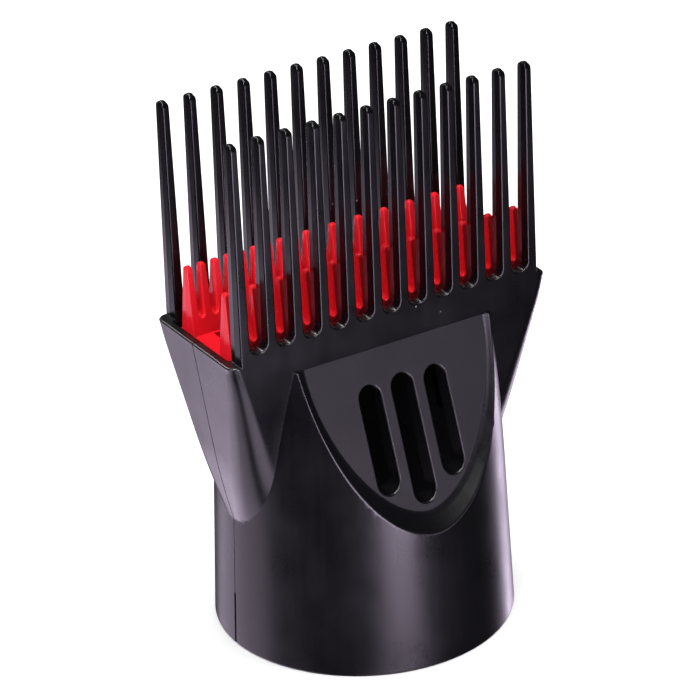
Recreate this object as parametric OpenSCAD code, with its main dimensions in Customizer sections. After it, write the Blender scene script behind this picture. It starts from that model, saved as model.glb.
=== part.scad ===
// Comb nozzle for a hair dryer. A collar pushes onto the dryer's barrel and widens into a flat mouth.
// Two housing halves carry a row of long teeth each, and trap a short-toothed comb insert between them.
// Origin: centre of the collar's bottom edge. X: along the mouth. -Y: front. Z: up, towards the tooth tips.

/* [Collar] */
// Outer radius at the bottom edge
collar_r = 26.5; // [26:0.1:28]
// Outer radius where the taper steepens
collar_mid_r = 25.3; // [25:0.1:25.6]
// Outer radius where the collar runs out under the front wall
collar_top_r = 23.3; // [23.1:0.1:23.6]
// Height where the taper steepens
collar_mid_z = 30; // [28:1:34]
// Radius of the bore that slides over the dryer's barrel
bore_r = 23.75; // [23:0.05:24]
// Depth of the bore, up to the stop
bore_depth = 24; // [20:0.5:24]
// Radius of the air passage just above the stop
passage_r = 22; // [21:0.1:22.5]
// Width of the two slits that let the collar spring open
slit_w = 0.5; // [0.3:0.1:1]
// Height of the slits
slit_h = 10.1; // [6:0.1:16]

/* [Head] */
// Outer width of the mouth
mouth_w = 63.2; // [63.2:0.1:66]
// Outer depth of the mouth
mouth_d = 25.2; // [25:0.1:26]
// Height of the mouth's rim
rim_z = 60; // [59:0.5:61]
// Plan radius of the head's corners at the rim
mouth_corner = 1.8; // [1.5:0.1:2.6]
// Growth of that radius for each millimetre below the rim
corner_growth = 0.177; // [0.15:0.001:0.18]
// Taper of the wings seen from the front, in millimetres inwards for each millimetre down
wing_taper = 0.145; // [0.13:0.001:0.15]
// Height below which the wings also bend inwards
wing_bend_z = 40; // [38:0.5:41]
// Radius of that bend
wing_bend_r = 125; // [120:1:140]
// Slope of the front and rear walls below the crease
wall_slope = 0.13; // [0.1:0.01:0.15]
// Thickness of the wings' walls
wing_wall = 1.7; // [1.5:0.1:1.8]
// Thickness of the walls that the long teeth stand on
tooth_wall = 3.4; // [3:0.1:3.6]

/* [Vent panel] */
// Height of the crease where the recessed panel starts
crease_z = 56; // [55:0.5:57]
// Slope of the panel, in millimetres outwards for each millimetre down
panel_slope = 0.36; // [0.33:0.01:0.38]
// Half width of the panel's floor at the crease
panel_half_w = 18; // [17:0.5:18.5]
// Length of the panel's floor down its slope
panel_len = 30.1; // [28:0.1:31]
// Thickness of the panel
panel_wall = 3.4; // [2.8:0.1:3.6]
// Width of the three air slots
slot_w = 4.25; // [3.5:0.05:4.5]
// Distance between the slots' centre lines
slot_pitch = 6.5; // [6:0.1:7]
// Lowest and highest points of the middle slot
mid_slot = [29.5, 50.85]; // [28:0.05:52]
// Lowest and highest points of the two side slots
side_slot = [32.5, 50.5]; // [30:0.05:52]

/* [Long teeth] */
// Number of teeth in a row
tooth_count = 12; // [8:1:12]
// Distance from tooth to tooth
tooth_pitch = 5.19; // [5:0.01:5.2]
// Height of the tips
tip_z = 99.5; // [80:0.5:105]
// Height of the lowest point of the gaps
valley_z = 61.6; // [61:0.1:63]
// Width of a tooth at its foot
tooth_w = 2; // [1.6:0.05:2.1]
// Width of a tooth at its tip
tooth_tip_w = 1.4; // [1.1:0.05:1.5]
// Depth of a tooth at its tip, front to rear
tooth_tip_d = 2.5; // [2.2:0.1:2.8]

/* [Comb insert] */
// Height of the tray's top face
tray_z = 58.6; // [58:0.1:59]
// Thickness of the tray
tray_t = 1.6; // [1.2:0.1:2]
// Number of short teeth in a row
short_count = 23; // [15:1:23]
// Height of the short teeth's tips
short_tip_z = 71; // [66:0.5:76]
// Height of the lowest point of the gaps between short teeth
short_valley_z = 61.6; // [61:0.1:64]
// Width of a short tooth at its foot
short_w = 1.5; // [1.3:0.05:1.7]
// Width of a short tooth at its tip
short_tip_w = 1.2; // [1:0.05:1.4]
// Shift of the short rows along the mouth, against the long rows
short_shift = 0.4; // [0:0.1:0.4]
// Number of air openings in the tray
opening_count = 5; // [3:1:7]
// Length of the part of the tray that holds the openings
opening_span = 50.4; // [46:0.2:51]
// Width of an opening, front to rear
opening_d = 7.8; // [6:0.1:8]
// Width of the ribs between the openings
rib_w = 1.7; // [1.2:0.1:2.4]

/* [Fits] */
// Gap all round between the insert and the halves
insert_gap = 0.1; // [0.05:0.01:0.2]
// Width of the insert's flange, beyond the tray
flange_w = 0.5; // [0.3:0.1:0.6]
// Radius of the locating pins
pin_r = 1.2; // [1:0.05:1.3]
// Radial gap between a pin and its socket
pin_gap = 0.05; // [0.03:0.01:0.1]

/* [Hidden] */
$fn = 96;
black = [0.09, 0.085, 0.1];
red = [0.85, 0.06, 0.08];
big = 60;
overlap = 1;
rim_chamfer = 0.35;
panel_tilt = atan(panel_slope);
panel_draft = 2;
panel_power = 1.8;
cavity_mouth_w = mouth_w - 2 * wing_wall - 0.2;
cavity_mouth_d = mouth_d - 2 * tooth_wall;
flange_z = tray_z - tray_t;
flange_t = tray_t - 0.6;
short_pitch = tooth_pitch / 2;
lead_in = 0.8;
boss_r = 2.3;
pin_len = 3.4;
// The locating pins in a wing: distance from the centre, height, and how far the boss reaches forwards
pin_places = [[26.6, 50, 9.6], [24.3, 37, 7.2]];

function half_w(z) =
    mouth_w / 2 - wing_taper * (rim_z - z) - pow(max(0, wing_bend_z - z), 2) / (2 * wing_bend_r);
function half_d(z) = mouth_d / 2 - wall_slope * max(0, crease_z - z);
function corner_r(z) = mouth_corner + corner_growth * (rim_z - z);
// Distance of the panel's face from the middle plane
function panel_y(z) = mouth_d / 2 + panel_slope * (crease_z - z);

// A thin level of the head: a rectangle with round corners
module level(w, d, r, z) {
    for (side = [-1, 1], face = [-1, 1])
        translate([side * (w - r), face * (d - r), z]) cylinder(r = r, h = 0.01, $fn = 32);
}

// Tapered body of the head, from inside the collar to the rim
module head_outside() {
    hull() {
        for (z = [24, 30, 36, 42, 48, 54, crease_z])
            level(half_w(z), half_d(z), corner_r(z), z);
        level(mouth_w / 2, mouth_d / 2, mouth_corner, rim_z - rim_chamfer);
        level(mouth_w / 2 - rim_chamfer, mouth_d / 2 - rim_chamfer, mouth_corner - rim_chamfer / 2,
              rim_z - 0.01);
    }
}

// Hollow of the head under the tray
module head_hollow() {
    hull() for (z = [29, 36, 44, 50, flange_z + 0.2])
        level(half_w(z) - wing_wall - (z > 55 ? 0.1 : 0),
              min(half_d(z) - 2.2, cavity_mouth_d / 2),
              corner_r(z) - 1.5,
              z);
}

module collar_outside() {
    rotate_extrude()
        polygon([[0, 0], [collar_r - 0.4, 0], [collar_r, 0.4], [collar_mid_r, collar_mid_z],
                 [collar_top_r, crease_z], [0, crease_z]]);
}

// Space between the inner faces of the front and rear panels
module between_panels(z_low, z_high) {
    y_low = panel_y(z_low) - panel_wall / cos(panel_tilt);
    y_high = panel_y(z_high) - panel_wall / cos(panel_tilt);
    rotate([90, 0, 90]) linear_extrude(height = 2 * big, center = true)
        polygon([[-y_low, z_low], [y_low, z_low], [y_high, z_high], [-y_high, z_high]]);
}

// Bore for the dryer's barrel, its stop and the air passage above
module collar_hollow() {
    translate([0, 0, -overlap]) cylinder(r = bore_r, h = bore_depth + overlap);
    translate([0, 0, -0.01]) cylinder(r1 = bore_r + lead_in, r2 = bore_r - 0.01, h = lead_in);
    intersection() {
        translate([0, 0, bore_depth - overlap])
            cylinder(r1 = passage_r, r2 = collar_top_r - 2, h = flange_z - bore_depth + overlap - 0.3);
        between_panels(bore_depth - overlap, flange_z);
    }
}

// A flat block with round corners, from its lowest height up
module tray_block(w, d, r, z, h) {
    translate([0, 0, z]) linear_extrude(height = h) {
        square([w - 2 * r, d], center = true);
        square([w, d - 2 * r], center = true);
        for (side = [-1, 1], face = [-1, 1])
            translate([side * (w / 2 - r), face * (d / 2 - r)]) circle(r = r, $fn = 32);
    }
}

// Mouth above the tray, and the groove that traps the insert's flange
module mouth_hollow() {
    tray_block(cavity_mouth_w, cavity_mouth_d, 1, flange_z, 10);
    tray_block(cavity_mouth_w + 2 * flange_w, cavity_mouth_d + 2 * flange_w, 1.6,
               flange_z - insert_gap, flange_t + 2 * insert_gap);
}

// Outline of the panel's recess, in the panel's own plane
module recess_outline(grow) {
    a = panel_half_w + grow;
    b = panel_len + grow;
    polygon([for (t = [0:5:180])
        [a * sign(cos(t)) * pow(abs(cos(t)), 2 / panel_power), -b * pow(sin(t), 2 / panel_power)]]);
}

// Recess in the front of the collar: flat floor, sloping wall
module recess() {
    depth = 11;
    translate([0, -mouth_d / 2, crease_z]) rotate([90 - panel_tilt, 0, 0]) hull() {
        linear_extrude(height = 0.01) recess_outline(0);
        translate([0, 0, depth]) linear_extrude(height = 0.01) recess_outline(panel_draft * depth);
    }
}

// An air slot through the front panel
module slot(x, z_range) {
    r = slot_w / 2;
    translate([x, 0, 0]) rotate([90, 0, 0]) linear_extrude(height = big) {
        translate([0, z_range[0] + r]) circle(r = r);
        translate([0, z_range[1] - r]) circle(r = r);
        translate([-r, z_range[0] + r]) square([slot_w, z_range[1] - z_range[0] - slot_w]);
    }
}

// Slit in the side of the collar, with a round top
module slit(side) {
    translate([side * collar_r, 0, 0]) {
        translate([-4, -slit_w / 2, -overlap]) cube([8, slit_w, slit_h - slit_w / 2 + overlap]);
        translate([-4, 0, slit_h - slit_w / 2]) rotate([0, 90, 0]) cylinder(r = slit_w / 2, h = 8);
    }
}

// Front view of a comb: a band with round-bottomed gaps and round-tipped teeth
module comb_outline(count, pitch, foot_w, tip_w, low_z, gap_z, top_z) {
    gap_r = (pitch - foot_w) / 2;
    first_x = -(count - 1) * pitch / 2;
    shoulder_z = gap_z + gap_r;
    difference() {
        translate([first_x - foot_w / 2, low_z])
            square([(count - 1) * pitch + foot_w, shoulder_z - low_z]);
        for (i = [0:count - 2])
            translate([first_x + (i + 0.5) * pitch, shoulder_z]) circle(r = gap_r);
    }
    for (i = [0:count - 1]) translate([first_x + i * pitch, 0]) {
        polygon([[-foot_w / 2, shoulder_z - 0.01], [foot_w / 2, shoulder_z - 0.01],
                 [tip_w / 2, top_z - tip_w / 2], [-tip_w / 2, top_z - tip_w / 2]]);
        translate([0, top_z - tip_w / 2]) circle(r = tip_w / 2, $fn = 32);
    }
}

// Side view of a comb: an upright wall that thins towards a round tip.
// near and far are its distances from the middle plane: at its foot, at foot_z, and at the tip
module comb_side(low_z, foot_z, near, far, top_z) {
    tip_r = (far[1] - near[1]) / 2;
    polygon([[-near[0], low_z], [-far[0], low_z], [-far[0], foot_z], [-far[1], top_z - tip_r],
             [-near[1], top_z - tip_r], [-near[0], foot_z]]);
    translate([-(near[1] + tip_r), top_z - tip_r]) circle(r = tip_r, $fn = 32);
}

// The front row of long teeth
module long_comb() {
    low_z = 58;
    near = mouth_d / 2 - tooth_wall + 0.1;
    far = mouth_d / 2 - 0.05;
    tip_far = far - 0.3;
    intersection() {
        rotate([90, 0, 0]) linear_extrude(height = big)
            comb_outline(tooth_count, tooth_pitch, tooth_w, tooth_tip_w, low_z, valley_z, tip_z);
        rotate([90, 0, 90]) linear_extrude(height = 2 * big, center = true)
            comb_side(low_z, valley_z, [near, tip_far - tooth_tip_d], [far, tip_far], tip_z);
    }
}

// Boss inside a wing that carries a locating pin or its socket
module boss(place, side) {
    translate([side * place[0], 0, place[1]]) rotate([90, 0, 0]) cylinder(r = boss_r, h = place[2]);
}

// One half of the housing, without pins or sockets
module half_shell() {
    difference() {
        intersection() {
            union() {
                collar_outside();
                head_outside();
                long_comb();
            }
            translate([-big, -big, -overlap]) cube([2 * big, big, 2 * big]);
        }
        collar_hollow();
        head_hollow();
        mouth_hollow();
        recess();
        slot(0, mid_slot);
        for (side = [-1, 1]) {
            slot(side * slot_pitch, side_slot);
            slit(side);
        }
    }
    for (side = [-1, 1], place = pin_places) boss(place, side);
}

// Front half: collar, wings, front wall, vent panel and front teeth, with the locating pins
module front_shell() {
    color(black) {
        half_shell();
        for (side = [-1, 1], place = pin_places) translate([side * place[0], -overlap, place[1]])
            rotate([-90, 0, 0]) {
                cylinder(r = pin_r, h = pin_len + overlap);
                translate([0, 0, pin_len + overlap]) cylinder(r1 = pin_r, r2 = pin_r - 0.4, h = 0.5);
            }
    }
}

// Rear half: the front half mirrored, with sockets for the pins
module rear_shell() {
    color(black) difference() {
        mirror([0, 1, 0]) half_shell();
        for (side = [-1, 1], place = pin_places) translate([side * place[0], -overlap, place[1]])
            rotate([-90, 0, 0]) cylinder(r = pin_r + pin_gap, h = pin_len + overlap + 1);
    }
}

// One row of short teeth on the tray
module short_comb() {
    low_z = tray_z - 0.5;
    intersection() {
        translate([short_shift, 0, 0]) rotate([90, 0, 0]) linear_extrude(height = big)
            comb_outline(short_count, short_pitch, short_w, short_tip_w, low_z, short_valley_z, short_tip_z);
        rotate([90, 0, 90]) linear_extrude(height = 2 * big, center = true)
            comb_side(low_z, low_z + 0.01, [4.1, 5.7], [8.4, 7], short_tip_z);
    }
}

// Tray with air openings and two rows of short teeth, trapped by its flange
module comb_insert() {
    w = cavity_mouth_w - 2 * insert_gap;
    d = cavity_mouth_d - 2 * insert_gap;
    opening_w = (opening_span - (opening_count - 1) * rib_w) / opening_count;
    color(red) {
        difference() {
            union() {
                tray_block(w, d, 1, flange_z, tray_t);
                tray_block(w + 2 * flange_w, d + 2 * flange_w, 1.5, flange_z, flange_t);
            }
            for (i = [0:opening_count - 1])
                translate([-opening_span / 2 + i * (opening_w + rib_w), -opening_d / 2, flange_z - overlap])
                    cube([opening_w, opening_d, tray_t + 2 * overlap]);
        }
        short_comb();
        mirror([0, 1, 0]) short_comb();
    }
}

front_shell();
rear_shell();
comb_insert();
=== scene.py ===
# %% [markdown]
# # Comb nozzle for a hair dryer
#
# A round collar pushes onto the dryer's barrel and widens into a flat mouth. Two rows of long black teeth rise
# from the mouth, and a glossy red insert with short teeth sits between them. The black housing is moulded as two
# halves, which meet on a fine line down each side.
#
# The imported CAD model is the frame. It fixes every size, and each piece below stands in for one CAD node.

# %% Load the frame
import math

import bmesh
import bpy
from mathutils import Matrix, Vector


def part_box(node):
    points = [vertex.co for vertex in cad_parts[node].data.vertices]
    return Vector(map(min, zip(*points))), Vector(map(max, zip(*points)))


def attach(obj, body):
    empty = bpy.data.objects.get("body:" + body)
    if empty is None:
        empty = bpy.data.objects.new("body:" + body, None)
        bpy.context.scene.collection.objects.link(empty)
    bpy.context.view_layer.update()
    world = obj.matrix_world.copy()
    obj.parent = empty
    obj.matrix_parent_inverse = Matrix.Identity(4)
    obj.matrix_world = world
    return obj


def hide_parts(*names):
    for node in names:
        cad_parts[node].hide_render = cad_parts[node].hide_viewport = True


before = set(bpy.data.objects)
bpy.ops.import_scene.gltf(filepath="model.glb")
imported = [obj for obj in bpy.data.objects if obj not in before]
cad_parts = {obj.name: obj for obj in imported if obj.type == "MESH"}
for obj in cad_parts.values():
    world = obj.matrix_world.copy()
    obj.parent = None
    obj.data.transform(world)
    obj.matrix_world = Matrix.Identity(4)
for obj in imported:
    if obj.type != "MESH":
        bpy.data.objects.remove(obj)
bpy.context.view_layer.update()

# %% [markdown]
# ## Dimensions
#
# A moulding is drawn in millimetres, so the shapes below are too, and a mesh is scaled to metres once, when it is
# made. What the frame can tell is read from it: the width of the mouth, the collar's radius, the height of both
# kinds of teeth and of the tray. The rest are the moulding's own dimensions.

# %% Sizes from the frame and the moulding's dimensions
MM = 0.001
shell_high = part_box("rear_shell")[1] / MM
insert_low, insert_high = (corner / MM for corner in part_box("comb_insert"))

mouth_half_w = round(shell_high.x, 2)
collar_r = round(shell_high.y, 2)
tip_z = round(shell_high.z, 2)
short_tip_z = round(insert_high.z, 2)
flange_z = round(insert_low.z, 2)
tray_depth = 1.6
tray_z = flange_z + tray_depth

rim_z = 60.0
crease_z = 56.0
mouth_half_d = 12.6
bore_r = 23.75
bore_depth = 24.0
wing_wall = 1.7
long_wall = 3.4
long_count = 12
long_pitch = 5.19
print("tips", tip_z, "mouth", 2 * mouth_half_w, "collar", collar_r, "tray", tray_z, "short tips", short_tip_z)

# %% [markdown]
# ## The finishes, named first
#
# The real nozzle has two plastics, black and red, but the mould gives the black one four finishes: satin outside,
# a matte texture on the vent panel, polished teeth and a plain inside. They could be painted on by picking faces
# at the end. Here the booleans do it: cutting one solid with another leaves the cutter's own faces behind, and
# Blender hands their material over too. So every solid gets its finish before it joins in, and the vent panel's
# texture comes from the tool that cuts the panel. The nodes are filled in near the end.

# %% Name the materials
def new_material(name):
    material = bpy.data.materials.new(name)
    material.use_nodes = True
    return material


satin_black = new_material("satin_black_plastic")
panel_black = new_material("textured_panel_plastic")
tooth_black = new_material("polished_tooth_plastic")
inner_black = new_material("inner_black_plastic")
glossy_red = new_material("glossy_red_plastic")
print("materials:", [material.name for material in bpy.data.materials])

# %% [markdown]
# ## Helpers for solid shapes
#
# A stack starts as one flat face, which is extruded from outline to outline, with its corners placed on the next
# outline each time. It is the extrude tool used over and over, and it keeps the surface in clean rings that shade
# well. A turned solid is a profile spun about the vertical axis. Either could be modelled by hand in the editor,
# but from outlines every wall thickness stays exact.

# %% Solids from outlines and profiles
def new_object(name, bm, material):
    """Turn a bmesh in millimetres into an object in metres."""
    bmesh.ops.recalc_face_normals(bm, faces=bm.faces)
    bmesh.ops.scale(bm, vec=(MM, MM, MM), verts=bm.verts)
    mesh = bpy.data.meshes.new(name)
    bm.to_mesh(mesh)
    bm.free()
    mesh.materials.append(material)
    obj = bpy.data.objects.new(name, mesh)
    bpy.context.scene.collection.objects.link(obj)
    return obj


def stack(outlines):
    """A closed bmesh through outlines that have the same number of points."""
    bm = bmesh.new()
    face = bm.faces.new([bm.verts.new(point) for point in outlines[0]])
    for outline in outlines[1:]:
        face = bmesh.ops.extrude_discrete_faces(bm, faces=[face])["faces"][0]
        for vert, point in zip(face.verts, outline):
            vert.co = point
    bmesh.ops.holes_fill(bm, edges=[edge for edge in bm.edges if edge.is_boundary], sides=0)
    return bm


def turned(name, profile, material, steps=192):
    """A solid of revolution from (radius, height) points that start and end on the axis."""
    bm = bmesh.new()
    verts = [bm.verts.new((radius, 0, z)) for radius, z in profile]
    edges = [bm.edges.new(pair) for pair in zip(verts, verts[1:])]
    bmesh.ops.spin(bm, geom=verts + edges, cent=(0, 0, 0), axis=(0, 0, 1), angle=math.tau,
                   steps=steps, use_merge=True)
    bmesh.ops.remove_doubles(bm, verts=bm.verts, dist=0.0001)
    return new_object(name, bm, material)


def block(name, low, high, material):
    """A plain box from its lowest to its highest corner."""
    low, high = Vector(low), Vector(high)
    bm = bmesh.new()
    bmesh.ops.create_cube(bm, size=1)
    bmesh.ops.scale(bm, vec=high - low, verts=bm.verts)
    bmesh.ops.translate(bm, vec=(low + high) / 2, verts=bm.verts)
    return new_object(name, bm, material)


print("solid helpers ready")

# %% [markdown]
# ## Putting solids together
#
# Two solids meet through a boolean modifier, which is applied at once so that the next step works on a plain mesh.
# The manifold solver is quick and exact, and it needs closed solids that overlap clearly. Two faces in the same
# place are hard for it, so where a cutter rounds an edge it ends a hair outside the face.

# %% Booleans
cut_clearance = 0.004


def combine(target, tool, how):
    """Join, cut or keep the overlap of two solids. The tool is used up."""
    modifier = target.modifiers.new("combine", "BOOLEAN")
    modifier.operation = how
    modifier.solver = "MANIFOLD"
    modifier.material_mode = "TRANSFER"
    modifier.object = tool
    graph = bpy.context.evaluated_depsgraph_get()
    mesh = bpy.data.meshes.new_from_object(target.evaluated_get(graph))
    target.modifiers.clear()
    target.data = mesh
    bpy.data.objects.remove(tool)
    return target


print("cutters stand", cut_clearance, "mm proud of the faces that they round")

# %% [markdown]
# ## Outlines
#
# Nearly every outline on this nozzle is made of arcs: the rim, the slots, the gaps between the teeth and the tips.
# A quarter arc is also how an edge gets its rounding here. The outline shrinks or grows along it while the height
# rises, which stays even on a curved surface, where a bevel would not.

# %% Arcs and round rectangles
def arc(centre, radius, start, end, steps):
    """Points along an arc, with its angles in degrees."""
    turns = [math.radians(start + (end - start) * i / steps) for i in range(steps + 1)]
    return [(centre[0] + radius * math.cos(a), centre[1] + radius * math.sin(a)) for a in turns]


def round_rectangle(half_w, half_d, radius, steps=14):
    """A rectangle with round corners, as points round its outline."""
    points = []
    for i, (sx, sy) in enumerate([(1, 1), (-1, 1), (-1, -1), (1, -1)]):
        points += arc((sx * (half_w - radius), sy * (half_d - radius)), radius, 90 * i, 90 * i + 90, steps)
    return points


def level(half_w, half_d, radius, z):
    """A round rectangle at one height."""
    return [(x, y, z) for x, y in round_rectangle(half_w, half_d, radius)]


print("points round a rectangle:", len(level(2, 1, 0.5, 0)))

# %% [markdown]
# ## The head
#
# The head is a flat funnel. Seen from the front its wings taper straight and then bend in towards the collar, seen
# from the side its walls lean in a little below the crease, and seen from above its corners grow rounder on the
# way down, so that each wing ends as a smooth tongue on the collar. One stack of round rectangles holds all three,
# and its last outlines roll over the rim.

# %% The head's outside
wing_taper = 0.145
wing_bend_z = 40.0
wing_bend_r = 125.0
wall_slope = 0.13
wall_blend = 2.0
rim_corner_r = 1.8
corner_growth = 0.177
rim_round = 0.35
head_low_z = 24.0
head_rings = 36


def half_w(z):
    """A straight taper, and below it a long bend inwards."""
    return mouth_half_w - wing_taper * (rim_z - z) - max(0, wing_bend_z - z) ** 2 / (2 * wing_bend_r)


def half_d(z):
    """Upright near the rim, then leaning in, with a short soft bend between the two."""
    below = crease_z + wall_blend - z
    if below <= 0:
        return mouth_half_d
    if below < 2 * wall_blend:
        return mouth_half_d - wall_slope * below ** 2 / (4 * wall_blend)
    return mouth_half_d - wall_slope * (crease_z - z)


def corner_r(z):
    """Nearly square at the rim, rounder on the way down."""
    return rim_corner_r + corner_growth * (rim_z - z)


def head_outside(inset=0.0):
    """The head, or the same shape that far inside its wings and its rim."""
    roll_z = rim_z - rim_round - inset
    heights = [head_low_z + (roll_z - head_low_z) * i / head_rings for i in range(head_rings + 1)]
    rings = [level(half_w(z) - inset, half_d(z), corner_r(z), z) for z in heights]
    for roll, rise in arc((0, 0), rim_round, 0, 90, 7)[1:]:
        back, z = rim_round - roll, roll_z + rise
        rings.append(level(mouth_half_w - inset - back, mouth_half_d - back, corner_r(z) - back / 2, z))
    return new_object("head", stack(rings), satin_black)


print("half width at the crease:", round(half_w(crease_z), 2), "at the tongue's end:", round(half_w(26), 2))

# %% [markdown]
# ## The collar
#
# The collar is the round part that grips the hair dryer. It is turned from a profile, like a cup on a lathe: a
# fine round edge at the bottom, a slight taper, and a taper that steepens under the head, where the collar's top
# becomes the shoulder behind the vent panel. A cylinder primitive would give none of these.

# %% The collar's outside
collar_taper = 0.04
collar_bend_z = 28
collar_bend = 0.00122
collar_edge = 0.3


def collar_radius(z):
    """A slight taper, and above the bend a steeper one."""
    return collar_r - collar_taper * z - collar_bend * max(0, z - collar_bend_z) ** 2


def collar_outside(inset=0.0):
    """The collar, or the same shape that far inside its surface."""
    edge = arc((collar_r - collar_edge, collar_edge), collar_edge, -90, 0, 6)
    profile = [(0, inset)] + [(radius - inset, z + inset) for radius, z in edge]
    heights = [8, 16, 24] + list(range(collar_bend_z, 58, 2))
    profile += [(collar_radius(z) - inset, z) for z in heights] + [(0, heights[-1])]
    return turned("collar", profile, satin_black)


print("collar radius at 30 mm and at 50 mm:", round(collar_radius(30), 2), round(collar_radius(50), 2))

# %% [markdown]
# ## The recess in the collar's front
#
# The recess has a flat floor that leans out from the crease: that is the vent panel. Round it run a soft fillet, a
# sloping wall and a fine round edge. The edge runs over a curved surface, where a bevel would be uneven, so it is
# built into the cutter: the cutter's wall rolls outwards just where it leaves the collar.

# %% The panel's plane and outline
panel_slope = 0.36
panel_tilt = math.atan(panel_slope)
panel_half_w = 18.0
panel_len = 30.1
panel_fullness = 1.8


def panel_y(z):
    """Distance of the panel's face from the middle plane."""
    return mouth_half_d + panel_slope * (crease_z - z)


# The panel's own axes: down its slope and straight out of it, from the middle of the crease
panel_down = Vector((0, -math.sin(panel_tilt), -math.cos(panel_tilt)))
panel_out = Vector((0, -math.cos(panel_tilt), math.sin(panel_tilt)))
panel_origin = Vector((0, -mouth_half_d, crease_z))


def recess_point(turn, grow, out):
    """A point round the recess. The turn runs over half a circle, from one end of the crease to the other."""
    power = 2 / panel_fullness
    across = (panel_half_w + grow) * math.copysign(abs(math.cos(turn)) ** power, math.cos(turn))
    down = (panel_len + grow) * math.sin(turn) ** power
    return panel_origin + Vector((across, 0, 0)) + down * panel_down + out * panel_out


print("panel tilt in degrees:", round(math.degrees(panel_tilt), 1))

# %% [markdown]
# ## Where the recess meets the collar
#
# The cutter has to know how high the collar's surface stands above the panel at each place. There is a formula for
# it, but halving a range again and again finds it as well, works for any shape of collar, and is easy to read.

# %% The recess's cutter
panel_draft = 2.0
recess_fillet = 0.8
edge_round = 0.45
surface_clearance = 0.012
flare_w, flare_h, flare_top = 0.5, 1.2, 13.0
past_crease = 8
search_limit, search_steps = 6.0, 40


def surface_height(turn, grow, draft=0.0, low=-search_limit):
    """Height of the collar's surface above the panel, along a line that starts that far outside the floor."""
    high = search_limit
    for _ in range(search_steps):
        middle = (low + high) / 2
        point = recess_point(turn, grow + draft * middle, middle)
        inside = math.hypot(point.x, point.y) < collar_radius(point.z)
        low, high = (middle, high) if inside else (low, middle)
    return low


def curve(start, corner, end, steps):
    """A soft bend from start to end that leaves and arrives along the lines to the corner."""
    points = []
    for i in range(steps + 1):
        t = i / steps
        points.append(tuple((1 - t) ** 2 * a + 2 * t * (1 - t) * b + t * t * c
                            for a, b, c in zip(start, corner, end)))
    return points


def recess_profile(turn):
    """Floor, fillet, wall, rolled edge and the flare outside it, as (grow, out) pairs."""
    top = surface_height(turn, 0.0, draft=panel_draft, low=0.0)
    edge = (panel_draft * top, top)
    fillet = recess_fillet * min(1, top)
    roll = min(edge_round, 0.5 * top)
    step = 0.05
    slope = (surface_height(turn, edge[0] + step) - top) / step
    run = roll / math.hypot(1, slope)
    roll_start = (edge[0] - panel_draft * roll / math.hypot(1, panel_draft),
                  edge[1] - roll / math.hypot(1, panel_draft))
    roll_end = (edge[0] + run, surface_height(turn, edge[0] + run) + surface_clearance)
    points = curve((-fillet, 0), (0, 0), (fillet, fillet / panel_draft), 6)
    points += curve(roll_start, edge, roll_end, 8)
    points.append((roll_end[0] + flare_w, roll_end[1] + flare_h))
    points.append((roll_end[0] + flare_w, flare_top))
    return points


def recess_cutter(steps=120):
    turns = [math.pi * i / steps for i in range(steps + 1)]
    profiles = [recess_profile(turn) for turn in turns]
    inwards = -past_crease * panel_down
    rings = []
    for k in range(len(profiles[0])):
        ring = [recess_point(turn, *profile[k]) for turn, profile in zip(turns, profiles)]
        rings.append([ring[0] + inwards] + ring + [ring[-1] + inwards])
    return new_object("recess_cutter", stack(rings), panel_black)


collar = combine(collar_outside(), recess_cutter(), "DIFFERENCE")
housing = combine(collar, head_outside(), "UNION")
print("collar and head faces:", len(housing.data.polygons))

# %% [markdown]
# ## The space inside
#
# A hair dryer's air comes up through the bore, past a stop, between the two panels and out of the mouth. All of
# that is cut with tools that are as plain as the spaces: a turned bore, a cone squeezed between the panels' inner
# faces, a stack for the head's hollow and one for the mouth, whose last outlines roll open at the rim. A Solidify
# modifier would be quicker, but these walls aren't equally thick.

# %% Cutters for the inside
under_z = -1
bore_lead_in = 0.8
passage_r, passage_top_r = 22.0, 21.3
panel_wall = 3.4
head_wall = 2.2
hollow_corner = 1.5
hollow_heights = [29, 32, 36, 40, 44, 47, 50, 53, 57.2]
mouth_step, mouth_step_z = 0.1, 55
mouth_corner = 1
mouth_lip = 0.6
groove_w, groove_slack = 0.5, 0.1
flange_h = 1
mouth_hollow_w = mouth_half_w - wing_wall - mouth_step
mouth_hollow_d = mouth_half_d - long_wall


def bore_tool():
    """The space for the dryer's barrel, with a lead-in that helps to push it on."""
    profile = [(0, under_z), (bore_r + bore_lead_in - under_z, under_z), (bore_r + bore_lead_in, 0),
               (bore_r, bore_lead_in), (bore_r, bore_depth), (0, bore_depth)]
    return turned("bore_tool", profile, inner_black)


def passage_tool():
    """The air's way up: a cone, with two flats where the vent panels come in."""
    low_z, high_z = bore_depth - 1, flange_z - 0.3
    profile = [(0, low_z), (passage_r, low_z), (passage_top_r, high_z), (0, high_z)]
    cone = turned("passage_tool", profile, inner_black)
    along_y = panel_wall / math.cos(panel_tilt)
    wide = 40
    corners = [(wide, 1), (-wide, 1), (-wide, -1), (wide, -1)]
    wedge = [[(x, side * (panel_y(z) - along_y), z) for x, side in corners] for z in (low_z, high_z)]
    return combine(cone, new_object("wedge", stack(wedge), inner_black), "INTERSECT")


def mouth_level(grow, z):
    """The mouth's hollow, grown by that much, at one height."""
    return level(mouth_hollow_w + grow, mouth_hollow_d + grow, mouth_corner + grow, z)


def head_hollow_tool():
    """The space inside the wings."""
    rings = []
    for z in hollow_heights:
        step = mouth_step if z > mouth_step_z else 0
        rings.append(level(half_w(z) - wing_wall - step, min(half_d(z) - head_wall, mouth_hollow_d),
                           corner_r(z) - hollow_corner, z))
    return new_object("head_hollow_tool", stack(rings), inner_black)


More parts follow.
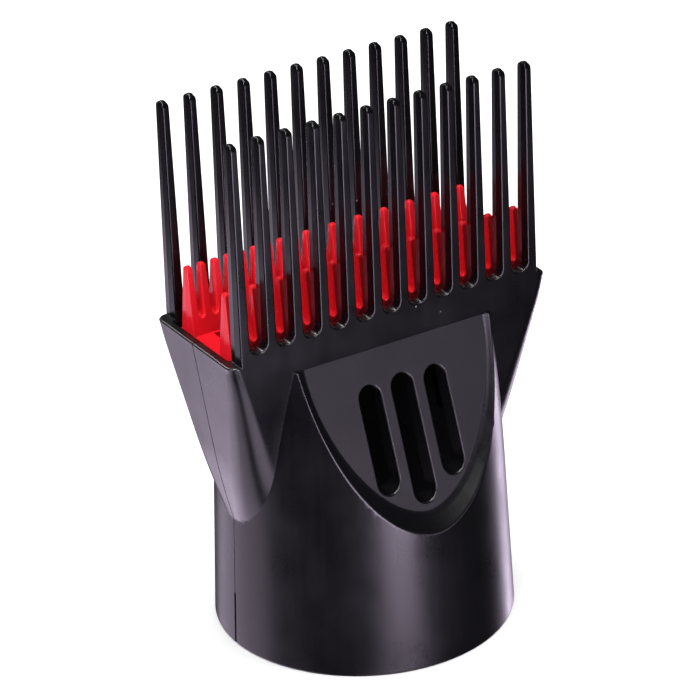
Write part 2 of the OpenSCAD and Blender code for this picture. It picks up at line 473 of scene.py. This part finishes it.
def mouth_tool():
    """The mouth, which holds the insert and rolls open at the rim."""
    lip = mouth_lip
    rings = [mouth_level(0, z) for z in (flange_z, rim_z - lip)]
    for back, rise in arc((0, 0), lip, 0, 90, 7)[1:]:
        rings.append(mouth_level(lip - back, rim_z - lip + rise + cut_clearance))
    rings.append(mouth_level(lip, rim_z + 3))
    return new_object("mouth_tool", stack(rings), inner_black)


def groove_tool():
    """The groove that traps the insert's flange."""
    rings = [level(mouth_hollow_w + groove_w, mouth_hollow_d + groove_w, mouth_corner + groove_w + groove_slack,
                   z) for z in (flange_z - groove_slack, flange_z + flange_h + groove_slack)]
    return new_object("groove_tool", stack(rings), inner_black)


print("mouth hollow, half sizes:", round(mouth_hollow_w, 2), round(mouth_hollow_d, 2))

# %% [markdown]
# ## Keep one half, and hollow it
#
# The real housing is two mouldings, so only the front half is kept, up to the middle plane. The fine dark line
# where the halves meet is a shallow groove, and not a gap, which would let light through from side to side. It
# is cut by a thin slab with the same outer shape taken out of it, a little smaller.

# %% The front half, hollowed
shut_gap = 0.003
seam_half_w = 0.07
seam_depth = 0.3


def seam_tool():
    """A thin slab that reaches only a little way under the surface."""
    core = combine(collar_outside(seam_depth), head_outside(seam_depth), "UNION")
    slab = block("seam_tool", (-60, -seam_half_w, -5), (60, seam_half_w, 70), inner_black)
    return combine(slab, core, "DIFFERENCE")


combine(housing, block("front_side", (-60, -60, -5), (60, -shut_gap, 120), satin_black), "INTERSECT")
combine(housing, seam_tool(), "DIFFERENCE")
for tool in (bore_tool(), passage_tool(), head_hollow_tool(), mouth_tool(), groove_tool()):
    combine(housing, tool, "DIFFERENCE")
print("hollow half, faces:", len(housing.data.polygons))

# %% [markdown]
# ## Air slots and slits
#
# The three slots in the panel are vents. They are cut straight back through the sloping panel, and their mouths
# are rounded: the slot's outlines follow the panel's slope point by point, so the rounding is even all the way
# round. A slit in each side lets the collar spring open over the barrel.

# %% Slots and slits
slot_w = 4.25
slot_places = [(0.0, 29.5, 50.85), (-6.5, 32.5, 50.5), (6.5, 32.5, 50.5)]
slot_round = 0.3
slot_inner_y = -4.0
slit_w = 0.5
slit_h = 10.1


def slot_outline(centre_x, low_z, high_z, grow, out):
    """The slot's outline, that far outside its wall and that far out of the panel's face."""
    r = slot_w / 2
    ends = arc((centre_x, high_z - r), r + grow, 0, 180, 20) + arc((centre_x, low_z + r), r + grow, 180, 360, 20)
    return [(x, -(panel_y(z) + out), z) for x, z in ends]


def slot_tool(centre_x, low_z, high_z):
    """A slot with a dark inside and a rounded mouth in the housing's finish."""
    rings = [[(x, slot_inner_y, z) for x, y, z in slot_outline(centre_x, low_z, high_z, 0, 0)]]
    for back, rise in arc((0, 0), slot_round, 0, 90, 7):
        out = rise - slot_round + cut_clearance
        rings.append(slot_outline(centre_x, low_z, high_z, slot_round - back, out))
    rings.append(slot_outline(centre_x, low_z, high_z, slot_round, 3))
    tool = new_object("slot_tool", stack(rings), inner_black)
    tool.data.materials.append(satin_black)
    for polygon in tool.data.polygons:
        x, y, z = polygon.center / MM
        polygon.material_index = int(panel_y(z) + y < slot_round)
    return tool


def slit_tool(side):
    r = slit_w / 2
    outline = [(-r, under_z), (r, under_z)] + arc((0, slit_h - r), r, 0, 180, 12)
    rings = [[(side * collar_r + x, y, z) for y, z in outline] for x in (-4, 2)]
    return new_object("slit_tool", stack(rings), inner_black)


for place in slot_places:
    combine(housing, slot_tool(*place), "DIFFERENCE")
for side in (-1, 1):
    combine(housing, slit_tool(side), "DIFFERENCE")
print("slotted half, faces:", len(housing.data.polygons))

# %% [markdown]
# ## Combs
#
# The teeth could be made one by one, but on the real nozzle a row of teeth is one wall with round-bottomed gaps,
# and so it is here. The wall's outline is drawn once and stacked from its front face to its rear face, a little
# smaller towards both faces: that is the draft that lets it leave the mould, and the rounded edges. Where the
# mould's halves meet, in the middle, a thin flash line stands proud.
#
# The wall is stacked straight, then cut across at several heights, and only then leaned and domed by moving its
# points, so that every face stays nearly flat and the tips round off in depth as well.

# %% Comb builder
flash = 0.02
ridge_layers = [(0.13, 0.01), (0.04, -flash)]
blunt_tip = 0.03


def comb_outline(count, pitch, foot_w, tip_w, low_z, gap_z, top_z, inset):
    """Front view of a comb, that far inside its largest outline."""
    first_x = -(count - 1) * pitch / 2
    gap_r = (pitch - foot_w) / 2
    shoulder_z = gap_z + gap_r
    foot, tip = foot_w / 2 - inset, tip_w / 2 - inset
    end_x = -first_x + foot
    points = [(-end_x, low_z), (-end_x, shoulder_z)]
    for i in range(count):
        x = first_x + i * pitch
        points += arc((x, top_z - tip_w / 2), tip, 180, 0, 12)
        if i < count - 1:
            points += arc((x + pitch / 2, shoulder_z), gap_r + inset, 180, 360, 16)
    return points + [(end_x, shoulder_z), (end_x, low_z)]


def comb(name, material, near, far, lean_z, draft, edge, cuts, **outline):
    """near and far are the wall's distances from the middle plane, below lean_z and at its tips."""
    half = (far[0] - near[0]) / 2
    layers = []
    for out, rise in arc((0, 0), edge, 90, 0, 5):
        layers.append((half - edge + rise, draft + edge - out))
    layers += ridge_layers
    layers += [(-depth, inset) for depth, inset in reversed(layers)]
    rings = [[(x, -depth, z) for x, z in comb_outline(inset=inset, **outline)] for depth, inset in layers]
    bm = stack(rings)
    for z in cuts:
        bmesh.ops.bisect_plane(bm, geom=bm.verts[:] + bm.edges[:] + bm.faces[:], dist=0.0001,
                               plane_co=(0, 0, z), plane_no=(0, 0, 1))
    tip_half = (far[1] - near[1]) / 2
    dome_z = outline["top_z"] - tip_half
    for vert in bm.verts:
        z = vert.co.z
        share = min(1, max(0, (z - lean_z) / (dome_z - lean_z)))
        middle = ((near[0] + far[0]) * (1 - share) + (near[1] + far[1]) * share) / 2
        depth = half + (tip_half - half) * share
        if z > dome_z:
            depth = tip_half * math.sqrt(max(blunt_tip, 1 - ((z - dome_z) / tip_half) ** 2))
        y = -middle + vert.co.y / half * depth
        vert.co.y = -mouth_half_d if abs(y + mouth_half_d) < 0.001 else y
    return new_object(name, bm, material)


print("flash stands proud by", flash, "mm")

# %% [markdown]
# ## The front half's long teeth
#
# Twelve long teeth stand flush on the front wall and taper towards domed tips. Below the gaps, and on the front,
# the wall has the housing's satin finish, so that no line shows where the comb's solid joins the head's.

# %% Join the long teeth
gap_z = 61.66
tip_cuts = [98.15, 98.45, 98.7, 98.95, 99.15, 99.3, 99.4]
long_comb = comb("long_comb", tooth_black, near=(9.204, 9.75), far=(mouth_half_d, 12.25), lean_z=rim_z,
                 draft=0.1, edge=0.26, cuts=[rim_z, gap_z, 66, 72, 80, 90] + tip_cuts, count=long_count,
                 pitch=long_pitch, foot_w=2.05, tip_w=1.45, low_z=58, gap_z=gap_z, top_z=tip_z - flash)
long_comb.data.materials.append(satin_black)
for polygon in long_comb.data.polygons:
    polygon.material_index = int(polygon.center.z < gap_z * MM or polygon.normal.y < -0.99)
combine(housing, long_comb, "UNION")
print("half with teeth, faces:", len(housing.data.polygons))

# %% [markdown]
# ## Bosses for the locating pins
#
# Bosses inside the wings carry the pins. They don't show from outside, but they are what holds the two halves in
# line. One helper makes a round bar along the depth, and it serves for the bosses, the pins and the sockets.

# %% Join the bosses
pin_places = [(26.6, 50.0, 9.6), (24.3, 37.0, 7.2)]
boss_r = 2.3


def rod(name, x, z, near_y, far_y, radius, material, tip=0.0):
    """A round bar along Y, with a chamfer at its far end."""
    bm = bmesh.new()
    bmesh.ops.create_cone(bm, cap_ends=True, segments=32, radius1=radius, radius2=radius,
                          depth=abs(far_y - near_y))
    if tip:
        end_edges = [edge for edge in bm.edges if all(vert.co.z > 0 for vert in edge.verts)]
        bmesh.ops.bevel(bm, geom=end_edges, offset=tip, affect="EDGES", segments=2, profile=0.5, material=-1)
    turn = math.radians(-90 if far_y > near_y else 90)
    bmesh.ops.rotate(bm, cent=(0, 0, 0), matrix=Matrix.Rotation(turn, 3, "X"), verts=bm.verts)
    bmesh.ops.translate(bm, vec=(x, (near_y + far_y) / 2, z), verts=bm.verts)
    return new_object(name, bm, material)


for side in (-1, 1):
    for x, z, reach in pin_places:
        combine(housing, rod("boss", side * x, z, -shut_gap, -reach, boss_r, inner_black), "UNION")
print("half with bosses, faces:", len(housing.data.polygons))

# %% [markdown]
# ## Two shells out of one half
#
# The rear half is the front one mirrored. A Mirror modifier would join both into one mesh, and these are two
# mouldings, so the mesh is copied and turned over instead. That leaves it inside out, so its faces are turned
# round again. Then the front half gets its pins and the rear half the sockets that they push into.

# %% Front and rear shells
pin_r = 1.2
pin_len = 3.4
pin_root = 2
pin_chamfer = 0.4
socket_slack = 0.1


def mirrored(source, name):
    bm = bmesh.new()
    bm.from_mesh(source.data)
    bmesh.ops.scale(bm, vec=(1, -1, 1), verts=bm.verts)
    bmesh.ops.reverse_faces(bm, faces=bm.faces)
    mesh = source.data.copy()
    bm.to_mesh(mesh)
    bm.free()
    obj = bpy.data.objects.new(name, mesh)
    bpy.context.scene.collection.objects.link(obj)
    return obj


rear_half = mirrored(housing, "housing_rear")
front_half = housing
front_half.name = "housing_front"
for side in (-1, 1):
    for x, z, reach in pin_places:
        pin = rod("pin", side * x, z, -pin_root, pin_len, pin_r, inner_black, tip=pin_chamfer)
        combine(front_half, pin, "UNION")
        socket = rod("socket", side * x, z, -1, pin_len + 1, pin_r + socket_slack, inner_black)
        combine(rear_half, socket, "DIFFERENCE")
print("front faces:", len(front_half.data.polygons), "rear faces:", len(rear_half.data.polygons))

# %% [markdown]
# ## The red insert
#
# The insert is a tray that the halves trap by its flange. It has five openings for the air, and two rows of short
# teeth, each a wall that thins towards its tips. It is moulded in one piece, so its parts are joined into one
# solid here too. The short teeth use the same comb builder as the long ones, at half the pitch.

# %% The tray and its openings
opening_count = 5
opening_span = 50.4
opening_half_d = 3.9
opening_corner = 0.4
rib_w = 1.7
insert_gap = 0.1
insert_edge = 0.25


def tray():
    """The tray's plate on its flange, with a rounded upper edge."""
    w, d, soft = mouth_hollow_w - insert_gap, mouth_hollow_d - insert_gap, insert_edge
    flange = (w + groove_w, d + groove_w, mouth_corner + groove_w)
    rings = [level(*flange, flange_z), level(*flange, flange_z + flange_h),
             level(w, d, mouth_corner, flange_z + flange_h), level(w, d, mouth_corner, tray_z - soft)]
    rings += [level(w - soft + back, d - soft + back, mouth_corner - soft + back, tray_z - soft + rise)
              for back, rise in arc((0, 0), soft, 0, 90, 4)[1:]]
    return new_object("comb_insert_visual", stack(rings), glossy_red)


def opening_tool(low_x, high_x):
    """A straight opening whose upper edge is rounded."""
    half, middle, soft = (high_x - low_x) / 2, (low_x + high_x) / 2, insert_edge

    def opening_level(grow, z):
        return level(half + grow, opening_half_d + grow, opening_corner + grow, z)

    rings = [opening_level(0, flange_z - 1)]
    for back, rise in arc((0, 0), soft, 0, 90, 4):
        rings.append(opening_level(soft - back, tray_z - soft + rise + cut_clearance))
    rings.append(opening_level(soft, tray_z + 2))
    tool = new_object("opening_tool", stack(rings), glossy_red)
    tool.data.transform(Matrix.Translation((middle * MM, 0, 0)))
    return tool


insert = tray()
opening_w = (opening_span - (opening_count - 1) * rib_w) / opening_count
for i in range(opening_count):
    low_x = -opening_span / 2 + i * (opening_w + rib_w)
    combine(insert, opening_tool(low_x, low_x + opening_w), "DIFFERENCE")
print("tray with openings, faces:", len(insert.data.polygons))

# %% [markdown]
# ## The short teeth
#
# The short comb is made once, moved a little to the right, and mirrored for the rear row. It starts below the
# tray's top, so that the two solids overlap clearly before they are joined.

# %% Join the short teeth
short_shift = 0.4
short_count = 2 * long_count - 1
short_gap_z = 61.6
short_low_z = tray_z - 0.5
short_tip_cuts = [70.25, 70.45, 70.65, 70.8, 70.92]
short_comb = comb("short_comb", glossy_red, near=(4.1, 5.7), far=(8.4, 7.0), lean_z=short_low_z, draft=0.06,
                  edge=0.14, cuts=[short_gap_z, 64, 66.5, 69] + short_tip_cuts, count=short_count,
                  pitch=long_pitch / 2, foot_w=1.5, tip_w=1.2, low_z=short_low_z, gap_z=short_gap_z,
                  top_z=short_tip_z - flash)
short_comb.data.transform(Matrix.Translation((short_shift * MM, 0, 0)))
combine(insert, mirrored(short_comb, "short_comb_rear"), "UNION")
combine(insert, short_comb, "UNION")
print("insert faces:", len(insert.data.polygons))

# %% [markdown]
# ## Shading
#
# Smooth shading hides the facets of round surfaces, and a sharp edge keeps a corner crisp. An edge is sharp where
# its two faces meet at a clear angle. Weighted normals then let the large flat faces stay truly flat next to the
# small rounded ones.

# %% Smooth and sharp edges, panel finish
sharp_angle = math.radians(32)
merge_distance = 0.0005 * MM
flat_enough = math.cos(math.radians(4))


def finish_surface(obj):
    """Clean the mesh, mark its sharp edges, and count the edges that don't join two faces."""
    bm = bmesh.new()
    bm.from_mesh(obj.data)
    bmesh.ops.remove_doubles(bm, verts=bm.verts, dist=merge_distance)
    bmesh.ops.dissolve_degenerate(bm, edges=bm.edges, dist=merge_distance)
    for face in bm.faces:
        face.smooth = True
    for edge in bm.edges:
        edge.smooth = not (edge.is_manifold and edge.calc_face_angle() > sharp_angle)
    open_edges = sum(1 for edge in bm.edges if not edge.is_manifold)
    bm.to_mesh(obj.data)
    bm.free()
    obj.modifiers.new("weighted_normals", "WEIGHTED_NORMAL").keep_sharp = True
    return open_edges


def keep_panel_texture_flat(obj):
    """Only the flat floor of the recess is textured: the rest of the cut gets the satin finish."""
    slots_by_name = {material.name: i for i, material in enumerate(obj.data.materials)}
    panel, satin = slots_by_name["textured_panel_plastic"], slots_by_name["satin_black_plastic"]
    for polygon in obj.data.polygons:
        if polygon.material_index == panel:
            facing = abs(polygon.normal.y * panel_out.y) + polygon.normal.z * panel_out.z
            if facing < flat_enough:
                polygon.material_index = satin


for shell in (front_half, rear_half):
    keep_panel_texture_flat(shell)
for piece in (front_half, rear_half, insert):
    print(piece.name, "open edges:", finish_surface(piece), "faces:", len(piece.data.polygons),
          "materials:", [material.name for material in piece.data.materials])

# %% [markdown]
# ## Finishes: shared effects
#
# Four effects turn up in more than one plastic, so each is a node group with named inputs, built once and placed
# in each material with its own values. A group gives out only masks, values and normals, and the shader itself
# stays in the material. Two small helpers keep the groups short: one makes a group with its sockets, the other
# adds a node and plugs it in.

# %% Node group helpers
def new_group(name, inputs, outputs):
    """A shader node group. Its sockets are given as name to default, and one without a default is a vector."""
    group = bpy.data.node_groups.new(name, "ShaderNodeTree")
    for direction, sockets in (("INPUT", inputs), ("OUTPUT", outputs)):
        for socket_name, default in sockets.items():
            kind = "NodeSocketVector" if default is None else "NodeSocketFloat"
            socket = group.interface.new_socket(socket_name, in_out=direction, socket_type=kind)
            if default is not None:
                socket.default_value = default
    return group, group.nodes.new("NodeGroupInput"), group.nodes.new("NodeGroupOutput")


def add_node(tree, kind, links=None, **settings):
    """A node with its settings, its plain input values and the sockets that feed it."""
    node = tree.nodes.new(kind)
    for key, value in settings.items():
        setattr(node, key, value)
    for key, value in (links or {}).items():
        if isinstance(value, bpy.types.NodeSocket):
            tree.links.new(value, node.inputs[key])
        else:
            node.inputs[key].default_value = value
    return node


print("node helpers ready")

# %% [markdown]
# ## Fine grain and handling
#
# Fine grain is the texture that the mould leaves. Handling varies the gloss in soft patches, where fingers and
# polish have been, with faint streaks along the height. Both are noise, because neither repeats. Every pattern
# reads object coordinates, in metres, so a scale of 1000 repeats about once a millimetre.

# %% Grain and handling groups
def fine_grain_group():
    """Height of a moulded texture: small rounded grains with a little waviness under them."""
    group, given, result = new_group("fine_grain", {"Scale": 4000.0, "Waviness": 0.3}, {"Height": 0.0})
    place = add_node(group, "ShaderNodeTexCoord").outputs["Object"]
    grains = add_node(group, "ShaderNodeTexNoise", {"Vector": place, "Scale": given.outputs["Scale"],
                                                    "Detail": 2.0, "Roughness": 0.6})
    waves = add_node(group, "ShaderNodeTexNoise", {"Vector": place, "Scale": 260.0, "Detail": 3.0})
    mixed = add_node(group, "ShaderNodeMix", {"Factor": given.outputs["Waviness"], "A": grains.outputs["Fac"],
                                              "B": waves.outputs["Fac"]})
    group.links.new(mixed.outputs[0], result.inputs["Height"])
    return group


def handling_group():
    """A roughness that drifts in soft patches, with faint streaks along the height."""
    group, given, result = new_group("handling", {"Roughness": 0.4, "Patches": 0.06, "Streaks": 0.02},
                                     {"Roughness": 0.4})
    place = add_node(group, "ShaderNodeTexCoord").outputs["Object"]
    patches = add_node(group, "ShaderNodeTexNoise", {"Vector": place, "Scale": 95.0, "Detail": 4.0,
                                                     "Roughness": 0.55})
    stretched = add_node(group, "ShaderNodeMapping", {"Vector": place, "Scale": (1.0, 1.0, 0.04)})
    streaks = add_node(group, "ShaderNodeTexNoise", {"Vector": stretched.outputs["Vector"], "Scale": 900.0,
                                                     "Detail": 2.0})
    patch_part, streak_part = (
        add_node(group, "ShaderNodeMapRange", {"Value": noise.outputs["Fac"], "From Min": 0.3, "From Max": 0.7,
                                               "To Min": -1.0, "To Max": 1.0}) for noise in (patches, streaks))
    first = add_node(group, "ShaderNodeMath", {0: patch_part.outputs[0], 1: given.outputs["Patches"],
                                               2: given.outputs["Roughness"]}, operation="MULTIPLY_ADD")
    second = add_node(group, "ShaderNodeMath", {0: streak_part.outputs[0], 1: given.outputs["Streaks"],
                                                2: first.outputs[0]}, operation="MULTIPLY_ADD")
    group.links.new(second.outputs[0], result.inputs["Roughness"])
    return group


effects = {make.__name__: make() for make in (fine_grain_group, handling_group)}
print("effects so far:", list(effects))

# %% [markdown]
# ## Dust specks and soft edges
#
# Specks are the few grains of dust that settle on black plastic. A Voronoi texture scatters one point in each
# cell, and only a few cells are kept, each with its own size. Soft edge rounds the shading of the sharp edges,
# which a mould never leaves knife sharp, where a real bevel would be too small to model.

# %% Specks and soft edge groups
def specks_group():
    """A mask of scattered dust specks. Amount is the share of cells that hold one."""
    group, given, result = new_group("specks", {"Scale": 300.0, "Amount": 0.1, "Size": 0.16}, {"Mask": 0.0})
    place = add_node(group, "ShaderNodeTexCoord").outputs["Object"]
    cells = add_node(group, "ShaderNodeTexVoronoi", {"Vector": place, "Scale": given.outputs["Scale"]})
    chosen = add_node(group, "ShaderNodeSeparateColor", {"Color": cells.outputs["Color"]})
    kept = add_node(group, "ShaderNodeMath", {0: chosen.outputs[0], 1: given.outputs["Amount"]},
                    operation="LESS_THAN")
    size = add_node(group, "ShaderNodeMath", {0: chosen.outputs[1], 1: given.outputs["Size"]},
                    operation="MULTIPLY")
    near = add_node(group, "ShaderNodeMath", {0: cells.outputs["Distance"], 1: size.outputs[0]},
                    operation="LESS_THAN")
    both = add_node(group, "ShaderNodeMath", {0: kept.outputs[0], 1: near.outputs[0]}, operation="MULTIPLY")
    group.links.new(both.outputs[0], result.inputs["Mask"])
    return group


def soft_edge_group():
    """The surface's normal with its sharp edges rounded by a small radius."""
    group, given, result = new_group("soft_edge", {"Radius": 0.0002}, {"Normal": None})
    bevel = add_node(group, "ShaderNodeBevel", {"Radius": given.outputs["Radius"]}, samples=4)
    group.links.new(bevel.outputs["Normal"], result.inputs["Normal"])
    return group


effects.update({make.__name__: make() for make in (specks_group, soft_edge_group)})
print("effects:", list(effects))

# %% [markdown]
# ## Finishes: the plastics
#
# All five plastics are built alike: a base colour that drifts towards a slightly lighter one, dust specks over it,
# a roughness that drifts too, a fine grain for the bump, and rounded edges underneath. What sets them apart is
# how rough they are and how coarse the grain is. The panel has a visible matte texture, the housing is satin, and
# the teeth are polished because they have to slide through hair. The black is very deep, since nearly all that
# the eye sees on black plastic is its gloss.

# %% Plastic materials
cloud_scale = 60.0
speck_scale = 420.0
speck_size = 0.1
dust = (0.12, 0.115, 0.12, 1)


def effect(tree, name, **inputs):
    """One of the groups, placed in a material with its own values."""
    node = tree.nodes.new("ShaderNodeGroup")
    node.node_tree = effects[name]
    for key, value in inputs.items():
        node.inputs[key].default_value = value
    return node.outputs[0]


def make_plastic(material, colour, tint, specular, roughness, patches, streaks, grain_scale, grain_depth,
                 waviness=0.3, speck_amount=0.05, edge_radius=0.0002):
    """Fill in a plastic. Grain depth and edge radius are in metres."""
    tree = material.node_tree
    shader = tree.nodes["Principled BSDF"]
    place = add_node(tree, "ShaderNodeTexCoord").outputs["Object"]
    cloud = add_node(tree, "ShaderNodeTexNoise", {"Vector": place, "Scale": cloud_scale, "Detail": 3.0})
    body = add_node(tree, "ShaderNodeMix", {"Factor": cloud.outputs["Fac"], "A": colour, "B": tint},
                    data_type="RGBA")
    specks = effect(tree, "specks_group", Scale=speck_scale, Amount=speck_amount, Size=speck_size)
    dusty = add_node(tree, "ShaderNodeMix", {"Factor": specks, "A": body.outputs[2], "B": dust},
                     data_type="RGBA")
    tree.links.new(dusty.outputs[2], shader.inputs["Base Color"])
    gloss = effect(tree, "handling_group", Roughness=roughness, Patches=patches, Streaks=streaks)
    tree.links.new(gloss, shader.inputs["Roughness"])
    height = effect(tree, "fine_grain_group", Scale=grain_scale, Waviness=waviness)
    soft = effect(tree, "soft_edge_group", Radius=edge_radius)
    bump = add_node(tree, "ShaderNodeBump", {"Height": height, "Normal": soft, "Strength": 1.0,
                                             "Distance": grain_depth})
    tree.links.new(bump.outputs["Normal"], shader.inputs["Normal"])
    shader.inputs["Specular IOR Level"].default_value = specular


make_plastic(satin_black, (0.0008, 0.0008, 0.0013, 1), (0.0012, 0.0012, 0.0018, 1), specular=0.42,
             roughness=0.3, patches=0.05, streaks=0.012, grain_scale=3000.0, grain_depth=0.000012)
make_plastic(panel_black, (0.003, 0.0028, 0.0036, 1), (0.005, 0.0046, 0.0056, 1), specular=0.4, roughness=0.5,
             patches=0.05, streaks=0.0, grain_scale=2200.0, grain_depth=0.00003, waviness=0.45,
             speck_amount=0.08)
make_plastic(tooth_black, (0.001, 0.001, 0.0014, 1), (0.0015, 0.0015, 0.002, 1), specular=0.3, roughness=0.2,
             patches=0.04, streaks=0.012, grain_scale=1800.0, grain_depth=0.000008, edge_radius=0.00008)
make_plastic(inner_black, (0.001, 0.001, 0.0013, 1), (0.0015, 0.0015, 0.0018, 1), specular=0.03, roughness=0.6,
             patches=0.06, streaks=0.02, grain_scale=2600.0, grain_depth=0.000015)
make_plastic(glossy_red, (0.66, 0.008, 0.016, 1), (0.74, 0.012, 0.022, 1), specular=0.4, roughness=0.26,
             patches=0.05, streaks=0.03, grain_scale=1500.0, grain_depth=0.000006, speck_amount=0.0,
             edge_radius=0.00008)
print("plastics made")

# %% [markdown]
# ## Put the pieces on the frame
#
# Each piece rides on the frame's one body, since nothing on this nozzle moves. It stands in for its CAD node,
# which is hidden.

# %% Ride and replace
for piece, node, finish in ((front_half, "front_shell", "housing"), (rear_half, "rear_shell", "housing"),
                            (insert, "comb_insert", "insert")):
    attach(piece, "root")
    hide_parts(node)
    print(piece.name, "stands for", node)

# %% [markdown]
# ## Floor and world
#
# The nozzle stands on a plain pale floor in a faint even light. The floor is left out of reflections and of
# bounced light, because a pale floor would show in the black plastic and wash it out from below. The plain view
# transform keeps the blacks deep.

# %% Floor and world
bm = bmesh.new()
bmesh.ops.create_grid(bm, x_segments=1, y_segments=1, size=2.5)
floor_mesh = bpy.data.meshes.new("floor")
bm.to_mesh(floor_mesh)
bm.free()
floor = bpy.data.objects.new("floor", floor_mesh)
bpy.context.scene.collection.objects.link(floor)
floor_paint = new_material("pale_floor")
floor_mesh.materials.append(floor_paint)
paint = floor_paint.node_tree.nodes["Principled BSDF"]
paint.inputs["Base Color"].default_value = (0.95, 0.95, 0.95, 1)
paint.inputs["Roughness"].default_value = 0.9
paint.inputs["Specular IOR Level"].default_value = 0.1
floor.visible_glossy = False
floor.visible_diffuse = False
floor.visible_shadow = False

world = bpy.data.worlds.new("studio")
bpy.context.scene.world = world
world.use_nodes = True
world.node_tree.nodes["Background"].inputs["Color"].default_value = (1, 1, 1, 1)
world.node_tree.nodes["Background"].inputs["Strength"].default_value = 0.045
bpy.context.scene.view_settings.view_transform = "Standard"
print("floor and world ready")

# %% [markdown]
# ## Lights
#
# Black plastic is mostly its reflections, so a light's place matters more than its strength: each one stands where
# a surface mirrors it towards the camera. The front light draws the upright gleam on the collar, the left ones
# light the wing, and the low front light separates the wing from the collar. The small lights above draw the
# bright dots on the tips and in the gaps. Light linking keeps the floor's light off the nozzle, and lets one light
# reach down between the teeth to the red insert.

# %% Lights
aim_point = Vector((0, 0, 0.05))
nozzle_only = bpy.data.collections.new("lit_nozzle")
for piece in (front_half, rear_half, insert):
    nozzle_only.objects.link(piece)
floor_only = bpy.data.collections.new("lit_floor")
floor_only.objects.link(floor)
insert_only = bpy.data.collections.new("lit_insert")
insert_only.objects.link(insert)
shells_only = bpy.data.collections.new("lit_shells")
for piece in (front_half, rear_half):
    shells_only.objects.link(piece)


def soft_light(name, azimuth, elevation, distance, width, height, radiance, colour=(1, 1, 1), on=nozzle_only):
    """A rectangular light, in metres, that faces the nozzle. Azimuth 0 is in front and 90 to the right."""
    data = bpy.data.lights.new(name, "AREA")
    data.shape = "RECTANGLE"
    data.size, data.size_y = width, height
    data.energy = radiance * math.pi * width * height
    data.color = colour
    light = bpy.data.objects.new(name, data)
    bpy.context.scene.collection.objects.link(light)
    a, e = math.radians(azimuth), math.radians(elevation)
    back = Vector((math.sin(a) * math.cos(e), -math.cos(a) * math.cos(e), math.sin(e)))
    light.location = aim_point + back * distance
    light.rotation_euler = back.to_track_quat("Z", "Y").to_euler()
    light.light_linking.receiver_collection = on
    return light


lavender = (0.91, 0.77, 1.0)
# Name, azimuth, elevation, distance, width, height, radiance
soft_light("front_light", -4, -8, 0.4, 0.17, 0.25, 16, lavender)
soft_light("low_front_light", -6, -51, 0.8, 0.5, 0.25, 3.6, lavender)
soft_light("edge_light", -62, 8, 0.8, 0.2, 0.25, 9, lavender)
soft_light("left_light", -140, -37, 0.375, 0.42, 0.22, 1.45, lavender)
soft_light("low_left_light", -125, -58, 0.8, 1.0, 0.5, 2.0, lavender)
soft_light("right_light", 112, -20, 0.8, 0.22, 0.6, 4.5, lavender)
soft_light("key_light", -68, 40, 0.9, 0.25, 0.25, 22)
soft_light("top_light", 0, 88, 0.9, 0.18, 0.18, 55)
soft_light("tip_light", -40, 62, 0.9, 0.14, 0.14, 110, on=shells_only)
soft_light("rear_light", -170, 48, 0.9, 0.25, 0.25, 30, on=shells_only)
soft_light("low_rear_light", 165, -12, 0.8, 0.25, 0.4, 4, lavender)
insert_light = soft_light("insert_light", -88, 25, 0.8, 0.3, 0.3, 8, on=insert_only)
insert_light.light_linking.blocker_collection = floor_only
soft_light("floor_light", 0, 90, 1.2, 1.4, 1.4, 6, on=floor_only)
print("lights:", [light.name for light in bpy.data.lights])

# %% [markdown]
# ## Camera
#
# A long lens stands well back, a little to the left and above, and is rolled by two degrees. Its direction is
# built from three axes, because a roll about the view is easier to give that way than as three turns.

# %% Camera
view_azimuth, view_elevation, view_roll = (math.radians(angle) for angle in (31.07, 26.84, -2.26))
view_distance = 0.6716
towards = Vector((-math.sin(view_azimuth) * math.cos(view_elevation),
                  -math.cos(view_azimuth) * math.cos(view_elevation), math.sin(view_elevation)))
right = Vector((math.cos(view_azimuth), -math.sin(view_azimuth), 0))
up = towards.cross(right)
rolled_right = right * math.cos(view_roll) + up * math.sin(view_roll)
rolled_up = up * math.cos(view_roll) - right * math.sin(view_roll)

lens = bpy.data.cameras.new("camera")
lens.sensor_width = 36
lens.lens = 201.3
lens.shift_x = -0.0067
lens.shift_y = -0.0051
lens.clip_start, lens.clip_end = 0.01, 20
camera = bpy.data.objects.new("camera", lens)
bpy.context.scene.collection.objects.link(camera)
turn = Matrix((rolled_right, rolled_up, towards)).transposed()
camera.matrix_world = Matrix.Translation(aim_point + towards * view_distance) @ turn.to_4x4()
bpy.context.scene.camera = camera
print("camera at", [round(value, 3) for value in camera.location])
